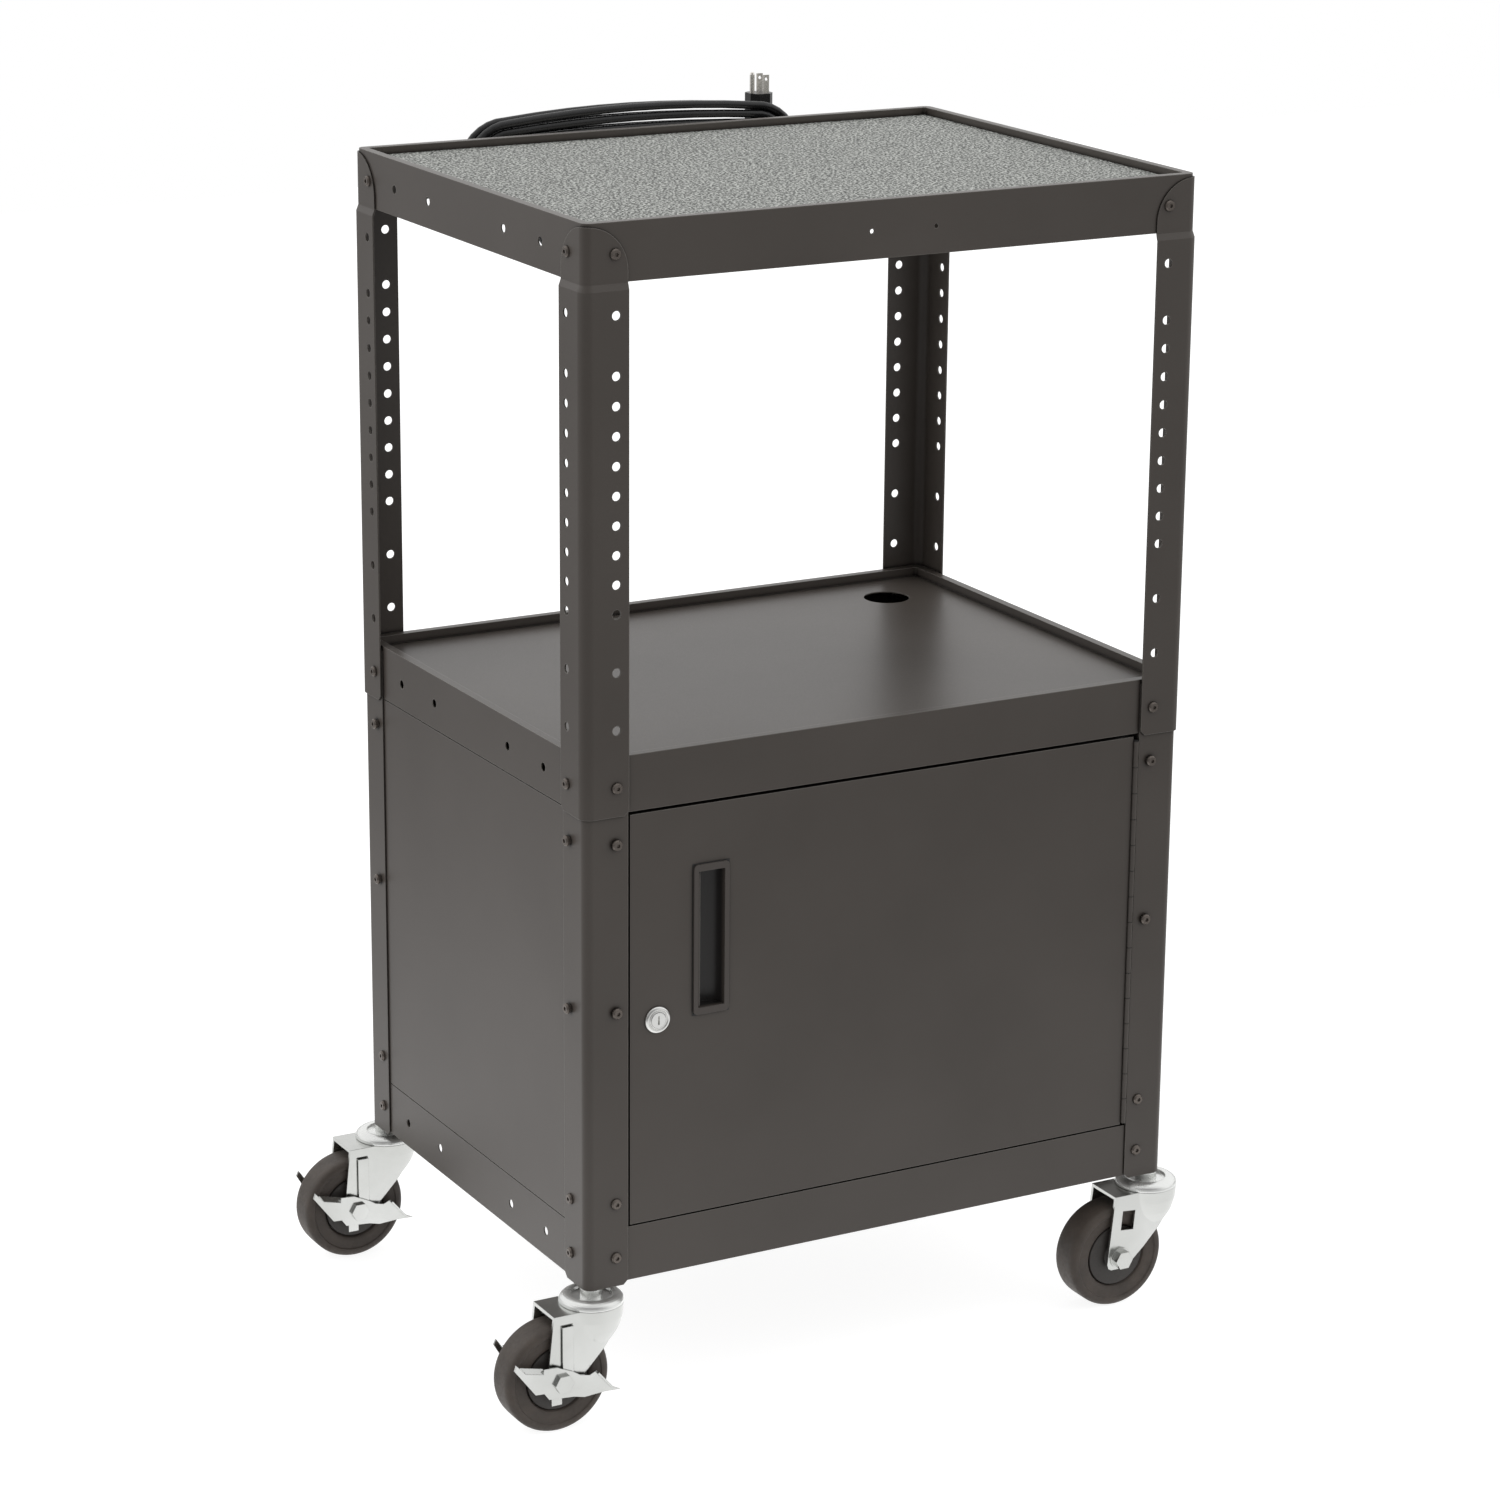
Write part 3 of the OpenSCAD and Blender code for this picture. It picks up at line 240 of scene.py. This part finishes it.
def make_blades():
    """The plug's two flat blades, each with a hole, and its round pin, turned as in the photo."""
    bm = bmesh.new()
    hole_z = PRONG_Z + BLADE_L - HOLE_DOWN
    edge, hole = blade_outline(hole_z)
    for side in (-1, 1):
        loops = []
        for ring, face in ((edge, -1), (hole, -1), (hole, 1), (edge, 1)):
            y = PLUG_Y + side * BLADE_Y + face * BLADE_T / 2
            loops.append([bm.verts.new(cart(PLUG_X + BLADE_X + x, y, hole_z + z)) for x, z in ring])
        skin(bm, loops)
    rings = []
    turns = [2 * pi * i / PIN_SIDES for i in range(PIN_SIDES)]
    for r, z in PIN_RINGS:
        rings.append([bm.verts.new(cart(PLUG_X + PIN_X + r * cos(a), PLUG_Y + r * sin(a), PRONG_Z + z))
            for a in turns])
    skin(bm, rings, closed=False)
    bm.faces.new(rings[0])
    bm.faces.new(rings[-1])
    blades = link("plug_blades", finish_mesh(bm, "plug_blades"), "upper_frame")
    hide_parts("plug_prongs")
    return blades


blades = make_blades()
cord = make_cord()


def srgb(r, g, b):
    """Linear colour from 8-bit screen values."""
    return tuple(c / 12.92 if c <= 0.04045 else ((c + 0.055) / 1.055) ** 2.4
        for c in (v / 255 for v in (r, g, b))) + (1.0,)


# nearly all of a noise lies between these values
NOISE_LOW = 0.3
NOISE_HIGH = 0.7
BEVEL_SAMPLES = 4
CREASE_SAMPLES = 6
# turn of a rounded normal on a flat face and on an edge, and openness in a crease and on a face for
# the painted crease shade
EDGE_TURN = (0.99, 0.85)
CREASE_OPEN = (0.45, 0.85)


class Nodes:
    """A material's node tree, with short calls to add and join nodes."""

    def __init__(self, name):
        self.material = bpy.data.materials.new(name)
        self.material.use_nodes = True
        self.tree = self.material.node_tree
        self.shader = self.tree.nodes["Principled BSDF"]
        self.place = self.add("ShaderNodeTexCoord").outputs["Object"]

    def add(self, kind, **settings):
        node = self.tree.nodes.new(kind)
        for key, value in settings.items():
            setattr(node, key, value)
        return node

    def join(self, source, target):
        self.tree.links.new(source, target)

    def drive(self, source, name):
        """Feeds one of the shader's inputs."""
        self.join(source, self.shader.inputs[name])

    def set(self, **values):
        for key, value in values.items():
            self.shader.inputs[key.replace("_", " ")].default_value = value

    def noise(self, scale, detail, roughness=0.5):
        node = self.add("ShaderNodeTexNoise")
        node.inputs["Scale"].default_value = scale
        node.inputs["Detail"].default_value = detail
        node.inputs["Roughness"].default_value = roughness
        self.join(self.place, node.inputs["Vector"])
        return node.outputs["Fac"]

    def ramp(self, value, stops):
        node = self.add("ShaderNodeValToRGB")
        elements = node.color_ramp.elements
        while len(elements) < len(stops):
            elements.new(0.5)
        for element, (at, color) in zip(elements, stops):
            element.position = at
            element.color = color
        self.join(value, node.inputs["Fac"])
        return node.outputs["Color"]

    def tint(self, noise, dark, light):
        return self.ramp(noise, [(NOISE_LOW, dark), (NOISE_HIGH, light)])

    def span(self, value, lo, hi, out_lo, out_hi):
        node = self.add("ShaderNodeMapRange")
        numbers = (lo, hi, out_lo, out_hi)
        for key, number in zip(("From Min", "From Max", "To Min", "To Max"), numbers):
            node.inputs[key].default_value = number
        self.join(value, node.inputs["Value"])
        return node.outputs["Result"]

    def roughness(self, noise, low, high):
        self.drive(self.span(noise, NOISE_LOW, NOISE_HIGH, low, high), "Roughness")

    def mix(self, factor, first, second):
        """Goes from the first colour to the second; the first may be a fixed colour."""
        node = self.add("ShaderNodeMix", data_type="RGBA")
        self.join(factor, node.inputs["Factor"])
        for key, color in (("A", first), ("B", second)):
            if isinstance(color, tuple):
                node.inputs[key].default_value = color
            else:
                self.join(color, node.inputs[key])
        return node.outputs["Result"]

    def rounded(self, radius):
        """The face's normal, rounded near edges."""
        bevel = self.add("ShaderNodeBevel", samples=BEVEL_SAMPLES)
        bevel.inputs["Radius"].default_value = radius
        return bevel.outputs["Normal"]

    def edges(self, radius):
        """1 along sharp edges and 0 on flat faces, from the turn of a rounded normal."""
        turn = self.add("ShaderNodeVectorMath", operation="DOT_PRODUCT")
        self.join(self.rounded(radius), turn.inputs[0])
        self.join(self.add("ShaderNodeNewGeometry").outputs["Normal"], turn.inputs[1])
        return self.span(turn.outputs["Value"], *EDGE_TURN, 0.0, 1.0)

    def crease_shade(self, distance, floor):
        """Factor of painted shade: 1 on open faces, down to floor in gaps and inner corners."""
        node = self.add("ShaderNodeAmbientOcclusion", samples=CREASE_SAMPLES)
        node.inputs["Distance"].default_value = distance
        return self.span(node.outputs["AO"], *CREASE_OPEN, floor, 1.0)

    def bump(self, height, strength, distance, edge=0.0):
        node = self.add("ShaderNodeBump")
        node.inputs["Strength"].default_value = strength
        node.inputs["Distance"].default_value = distance
        self.join(height, node.inputs["Height"])
        if edge:
            self.join(self.rounded(edge), node.inputs["Normal"])
        self.drive(node.outputs["Normal"], "Normal")


COAT_DARK = srgb(75, 69, 64)
COAT_LIGHT = srgb(82, 76, 71)
# painted highlight along the frame coat's edges
COAT_EDGE_HIGHLIGHT = srgb(128, 124, 118)
# painted shade in the coat's gaps and inner corners
PAINTED_CREASE_SHADE = srgb(12, 11, 11)
# painted shade along the hinge's edges, for the dark lines at its knuckles
HINGE_EDGE_SHADE = srgb(34, 31, 30)
ZINC_DARK = srgb(198, 199, 196)
ZINC_LIGHT = srgb(214, 215, 213)
# the caster dome's zinc is lighter than the forks', a painted highlight for its bright reflections
DOME_DARK = srgb(232, 233, 231)
DOME_LIGHT = srgb(243, 244, 242)
CHROME_GREY = srgb(232, 232, 230)
JACKET_DARK = srgb(22, 22, 23)
JACKET_LIGHT = srgb(30, 30, 31)
TYRE_DARK = srgb(68, 61, 56)
TYRE_LIGHT = srgb(86, 77, 70)
NICKEL_GREY = srgb(238, 234, 228)
HANDLE_FRAME = srgb(78, 72, 68)
# painted shade deep in the handle's cup
HANDLE_CUP_SHADE = srgb(38, 36, 35)
MAT_STOPS = [(0.40, srgb(48, 50, 48)), (0.50, srgb(114, 116, 112)), (0.60, srgb(200, 202, 197))]
COAT_SPECULAR = 0.5
MAT_ROUGHNESS = 0.7
# share of a plastic's colour that its darker patches have
PLASTIC_SHADE = 0.85
# height of the handle's frame over the door, and the depth over which painted shade darkens its cup
HANDLE_PROUD = 2.2
CUP_SHADE_DEPTH = 4


def powder_coat(name, painted_edge_tone):
    """Fine grained coat, with a painted edge tone along its edges (a highlight on the frame, shade on
    the hinge) and painted shade in its creases.
    """
    n = Nodes(name)
    coat = n.tint(n.noise(scale=7, detail=3), COAT_DARK, COAT_LIGHT)
    # the mix takes the coat first, and the painted edge tone where the mask is 1: a painted highlight
    # on the frame's coat, painted shade on the hinge's
    with_edge_tone = n.mix(n.edges(radius=0.0012), coat, painted_edge_tone)
    # painted shade: in gaps and inner corners the coat goes to near-black and its reflection dims
    open_to_light = n.crease_shade(distance=0.006, floor=0.1)
    n.drive(n.mix(open_to_light, PAINTED_CREASE_SHADE, with_edge_tone), "Base Color")
    n.drive(n.span(open_to_light, 0.0, 1.0, 0.0, COAT_SPECULAR), "Specular IOR Level")
    grain = n.noise(scale=1500, detail=2)
    n.roughness(grain, low=0.30, high=0.40)
    n.bump(grain, strength=0.08, distance=0.0002, edge=0.0008)
    return n.material


def zinc(name, dark, light, low, high, metallic=1.0, dents=0.3):
    n = Nodes(name)
    n.drive(n.tint(n.noise(scale=14, detail=2), dark, light), "Base Color")
    n.roughness(n.noise(scale=120, detail=3), low, high)
    n.set(Metallic=metallic)
    n.bump(n.noise(scale=22, detail=1), strength=dents, distance=0.003, edge=0.0008)
    return n.material


def chrome():
    n = Nodes("lock_chrome")
    haze = n.noise(scale=200, detail=2)
    n.roughness(haze, low=0.06, high=0.14)
    n.set(Metallic=1.0, Base_Color=CHROME_GREY)
    n.bump(haze, strength=0.02, distance=0.0001, edge=0.0004)
    return n.material


def plastic(name, color, low, high, metallic=0.0):
    n = Nodes(name)
    n.set(Metallic=metallic)
    grain = n.noise(scale=700, detail=3)
    n.roughness(grain, low, high)
    dark = tuple(PLASTIC_SHADE * c for c in color[:3]) + (1.0,)
    n.drive(n.tint(n.noise(scale=25, detail=3), dark, color), "Base Color")
    n.bump(grain, strength=0.08, distance=0.0002, edge=0.0005)
    return n.material


def cord_rubber():
    n = Nodes("cord_jacket")
    grain = n.noise(scale=900, detail=2)
    n.roughness(grain, low=0.22, high=0.34)
    n.drive(n.tint(n.noise(scale=30, detail=2), JACKET_DARK, JACKET_LIGHT), "Base Color")
    n.bump(grain, strength=0.05, distance=0.0002)
    return n.material


def mat_rubber():
    n = Nodes("speckled_mat")
    speck = n.noise(scale=420, detail=2, roughness=0.6)
    n.drive(n.ramp(speck, MAT_STOPS), "Base Color")
    n.set(Roughness=MAT_ROUGHNESS)
    n.bump(speck, strength=0.35, distance=0.0006)
    return n.material


def tyre_rubber():
    n = Nodes("tyre_rubber")
    grain = n.noise(scale=350, detail=3)
    n.drive(n.tint(n.noise(scale=45, detail=4), TYRE_DARK, TYRE_LIGHT), "Base Color")
    n.roughness(grain, low=0.5, high=0.65)
    n.bump(grain, strength=0.15, distance=0.0004)
    return n.material


def nickel():
    n = Nodes("prong_nickel")
    haze = n.noise(scale=300, detail=2)
    n.roughness(haze, low=0.18, high=0.3)
    n.set(Metallic=1.0, Base_Color=NICKEL_GREY)
    n.bump(haze, strength=0.02, distance=0.00005)
    return n.material


def handle_coat():
    """The door's colour on the frame, with painted shade darkening it inside the cup."""
    n = Nodes("handle_coat")
    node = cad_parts["handle_cup"]
    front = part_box("handle_cup")[0]
    rim = (node.matrix_world.inverted() @ front).y + HANDLE_PROUD * MM
    split = n.add("ShaderNodeSeparateXYZ")
    n.join(n.place, split.inputs[0])
    # painted shade: the frame's colour darkens with depth into the cup
    depth = n.span(split.outputs["Y"], rim, rim + CUP_SHADE_DEPTH * MM, 0.0, 1.0)
    n.drive(n.ramp(depth, [(0.0, HANDLE_FRAME), (1.0, HANDLE_CUP_SHADE)]), "Base Color")
    grain = n.noise(scale=1200, detail=2)
    n.roughness(grain, low=0.3, high=0.4)
    n.bump(grain, strength=0.08, distance=0.0002, edge=0.0005)
    return n.material


# the frame's coat gets a painted highlight along its edges and the hinge's coat painted shade along
# its edges; both get painted shade in creases
POWDER = powder_coat("powder_coat", COAT_EDGE_HIGHLIGHT)
HINGE = powder_coat("hinge_coat", HINGE_EDGE_SHADE)
ZINC = zinc("zinc_plate", ZINC_DARK, ZINC_LIGHT, low=0.16, high=0.26)
# lighter, less metallic copy of the zinc for the dome: painted highlight
DOME = zinc("zinc_dome", DOME_DARK, DOME_LIGHT, low=0.2, high=0.28, metallic=0.85, dents=0.05)
CHROME = chrome()
BLACK = plastic("black_plastic", srgb(38, 37, 37), low=0.35, high=0.5)
SCREW = plastic("black_screws", srgb(112, 104, 98), low=0.18, high=0.3, metallic=0.6)
HANDLE = handle_coat()
CREAM = plastic("light_housing", srgb(200, 198, 192), low=0.4, high=0.5)
HUB = plastic("hub_plastic", srgb(60, 56, 53), low=0.45, high=0.6)
JACKET = cord_rubber()
MAT = mat_rubber()
TYRE = tyre_rubber()
NICKEL = nickel()

# the first words of a node's name, and its material
NODE_MATERIALS = [
    (("lower_leg", "upper_leg", "middle_shelf", "bottom_shelf", "side_panel", "back_panel",
        "top_shelf", "door_panel"), POWDER),
    (("lower_frame_nuts", "top_nuts", "fork", "axle_bolt", "brake"), ZINC),
    (("lower_frame_screws", "top_screws"), SCREW),
    # black plastic parts; the hinge pin is black too, as painted shade in the hinge's knuckle gaps
    (("outlet_block", "cord_cleats", "hinge_pin"), BLACK),
    (("strain_relief", "plug_body"), JACKET),
    (("hinge_leaf",), HINGE),
    (("caster_stem",), DOME),
    (("lock",), CHROME),
    (("shelf_mat",), MAT),
    (("power_housing",), CREAM),
    (("plug_prongs",), NICKEL),
    (("tyre",), TYRE),
    (("wheel_hub",), HUB),
    (("handle_cup",), HANDLE),
]


def paint(obj, material):
    obj.data.materials.clear()
    obj.data.materials.append(material)


for name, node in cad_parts.items():
    for starts, material in NODE_MATERIALS:
        if name.startswith(starts):
            paint(node, material)
paint(cord, JACKET)
paint(blades, NICKEL)

LATHE_STEPS = 96
SHARP_ANGLE = 35
# profiles below hold (radius, place along the axis) in millimetres
TYRE_R = 50
TREAD_R = 6
TREAD_Y = 10.25
TREAD_ANGLES = (15, 30, 45, 60, 75, 90)
TREAD = [(TYRE_R - TREAD_R + TREAD_R * cos(radians(a)), TREAD_Y + TREAD_R * sin(radians(a)))
    for a in TREAD_ANGLES]
TYRE_HALF = [(TYRE_R, 3), (TYRE_R, 8)] + TREAD + [(42.5, 16.1), (41.5, 15.1), (40, 14.9), (35, 14.6),
    (32, 14.2), (31, 13.6), (30.5, 12.4), (30.1, 12.0)]
HUB_HALF = [(29.3, 0), (29.3, 12.2), (28.7, 13.2), (27.8, 13.4), (12.5, 13.2), (11.4, 14.2),
    (10.2, 17.3), (4.1, 17.3)]
LOCK_RING = [(7.3, 16), (9.2, 16), (9.2, 0), (12.35, 0), (12.35, -0.7), (12.1, -1.4), (11.6, -2.0),
    (10.9, -2.5), (10.2, -2.7), (9.6, -2.6), (9.2, -2.2), (8.9, -1.7), (8.5, -1.7), (8.2, -2.3),
    (7.9, -2.7), (7.3, -2.8)]
# the lock ring's height over the door, and the painted shadow line round the handle's frame: its width
# outside the frame and its height
LOCK_PROUD = 3
SHADOW_OUT = 0.8
SHADOW_PROUD = 0.3


def lathe(name, profile, centre, body, material):
    """A closed ring turned about a line along Y through the centre."""
    bm = bmesh.new()
    rings = []
    for i in range(LATHE_STEPS):
        a = 2 * pi * i / LATHE_STEPS
        places = [centre + Vector((r * cos(a), y, r * sin(a))) * MM for r, y in profile]
        rings.append([bm.verts.new(p) for p in places])
    skin(bm, rings)
    obj = link(name, finish_mesh(bm, name, SHARP_ANGLE), body)
    paint(obj, material)
    return obj


def both_sides(half):
    """The profile's half at +Y, and the same turned to -Y, as one closed loop."""
    return half + [(r, -y) for r, y in reversed(half)]


def make_wheel(corner):
    low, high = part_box("tyre_" + corner)
    centre = (low + high) / 2
    tyre = lathe("tyre_ring_" + corner, both_sides(TYRE_HALF), centre, "wheel_" + corner, TYRE)
    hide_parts("tyre_" + corner)
    hub = lathe("hub_disc_" + corner, both_sides(HUB_HALF), centre, "wheel_" + corner, HUB)
    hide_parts("wheel_hub_" + corner)


def make_lock_ring():
    low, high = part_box("lock_housing")
    centre = (low + high) / 2
    centre.y = low.y + LOCK_PROUD * MM
    ring = lathe("lock_ring", LOCK_RING, centre, "door", CHROME)
    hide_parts("lock_housing")


def make_painted_handle_shadow():
    """The shadow line round the handle's frame, painted as a thin black frame on the door."""
    low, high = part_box("handle_cup")
    front = low.y + (HANDLE_PROUD - SHADOW_PROUD) * MM
    back = low.y + HANDLE_PROUD * MM
    bm = bmesh.new()
    loops = []
    for out, y in ((SHADOW_OUT, front), (-SHADOW_OUT, front), (-SHADOW_OUT, back), (SHADOW_OUT, back)):
        x0, x1, z0, z1 = low.x - out * MM, high.x + out * MM, low.z - out * MM, high.z + out * MM
        corners = ((x0, z0), (x1, z0), (x1, z1), (x0, z1))
        loops.append([bm.verts.new((x, y, z)) for x, z in corners])
    skin(bm, loops)
    shadow_frame = link("handle_painted_shadow", finish_mesh(bm, "handle_painted_shadow"), "door")
    paint(shadow_frame, BLACK)


for corner in ("front_left", "front_right", "back_left", "back_right"):
    make_wheel(corner)
make_lock_ring()
make_painted_handle_shadow()

WHITE = (1, 1, 1, 1)
FLOOR_HALF = 6.0
FLOOR_GREY = (0.35, 0.35, 0.35, 1)
FLOOR_ROUGHNESS = 0.9
# the floor's own light as the camera sees it, and as dull faces do
FLOOR_SEEN = 0.88
FLOOR_BOUNCE = 0.22
# the floor as shiny faces see it, bright near the cart: distances and levels
FLOOR_GLOW = (0.4, 2.0, 1.15, 0.4)
# the studio is dim round the camera and bright to the sides, above and behind the cart
DIM_WAY = (-0.48, -0.87, 0.1)
# light level against the turn from DIM_WAY: from, to, far level, near level
SOFT_LIGHT = (0.0, 0.9, 1.36, 0.43)
SHINY_LIGHT = (0.2, 0.9, 1.05, 0.34)
# share of the shiny level against the height of the ray
SHINY_BAND = (0.0, 0.22, 0.55, 0.92)


def make_floor():
    """A white floor that keeps a faint shadow; shiny faces see it brighter near the cart."""
    mesh = bpy.data.meshes.new("floor")
    corners = [(-1, -1), (1, -1), (1, 1), (-1, 1)]
    mesh.from_pydata([(FLOOR_HALF * x, FLOOR_HALF * y, 0) for x, y in corners], [], [(0, 1, 2, 3)])
    obj = bpy.data.objects.new("floor", mesh)
    bpy.context.scene.collection.objects.link(obj)
    n = Nodes("floor_white")
    n.set(Base_Color=FLOOR_GREY, Roughness=FLOOR_ROUGHNESS, Specular_IOR_Level=0.0,
        Emission_Color=WHITE, Emission_Strength=FLOOR_SEEN)
    reach = n.add("ShaderNodeVectorMath", operation="LENGTH")
    n.join(n.place, reach.inputs[0])
    glow = n.add("ShaderNodeEmission")
    n.join(n.span(reach.outputs["Value"], *FLOOR_GLOW), glow.inputs["Strength"])
    bounce = n.add("ShaderNodeEmission")
    bounce.inputs["Strength"].default_value = FLOOR_BOUNCE
    path = n.add("ShaderNodeLightPath")
    shader = n.shader.outputs["BSDF"]
    for ray, other in (("Is Diffuse Ray", bounce), ("Is Glossy Ray", glow)):
        mix = n.add("ShaderNodeMixShader")
        n.join(path.outputs[ray], mix.inputs["Fac"])
        n.join(shader, mix.inputs[1])
        n.join(other.outputs["Emission"], mix.inputs[2])
        shader = mix.outputs["Shader"]
    n.join(shader, n.tree.nodes["Material Output"].inputs["Surface"])
    paint(obj, n.material)


def make_world():
    """White to the camera; to other rays, dim on the camera's side and bright elsewhere."""
    world = bpy.data.worlds.new("studio")
    bpy.context.scene.world = world
    world.use_nodes = True
    tree = world.node_tree
    tree.nodes.clear()

    def add(kind, **settings):
        node = tree.nodes.new(kind)
        for key, value in settings.items():
            setattr(node, key, value)
        return node

    def span(value, numbers):
        node = add("ShaderNodeMapRange", interpolation_type="SMOOTHSTEP")
        for key, number in zip(("From Min", "From Max", "To Min", "To Max"), numbers):
            node.inputs[key].default_value = number
        tree.links.new(value, node.inputs["Value"])
        return node.outputs["Result"]

    def light(strength=None):
        node = add("ShaderNodeBackground")
        node.inputs["Color"].default_value = WHITE
        if strength:
            tree.links.new(strength, node.inputs["Strength"])
        return node.outputs["Background"]

    def choose(fac, first, second):
        node = add("ShaderNodeMixShader")
        tree.links.new(fac, node.inputs["Fac"])
        tree.links.new(first, node.inputs[1])
        tree.links.new(second, node.inputs[2])
        return node.outputs["Shader"]

    way = add("ShaderNodeTexCoord").outputs["Generated"]
    toward = add("ShaderNodeVectorMath", operation="DOT_PRODUCT")
    tree.links.new(way, toward.inputs[0])
    toward.inputs[1].default_value = DIM_WAY
    split = add("ShaderNodeSeparateXYZ")
    tree.links.new(way, split.inputs[0])
    soft = span(toward.outputs["Value"], SOFT_LIGHT)
    shiny = span(toward.outputs["Value"], SHINY_LIGHT)
    band = span(split.outputs["Z"], SHINY_BAND)
    product = add("ShaderNodeMath", operation="MULTIPLY")
    tree.links.new(shiny, product.inputs[0])
    tree.links.new(band, product.inputs[1])
    path = add("ShaderNodeLightPath")
    seen = choose(path.outputs["Is Glossy Ray"], light(soft), light(product.outputs["Value"]))
    seen = choose(path.outputs["Is Camera Ray"], seen, light())
    tree.links.new(seen, add("ShaderNodeOutputWorld").inputs["Surface"])


make_floor()
make_world()
bpy.context.scene.view_settings.view_transform = "Standard"
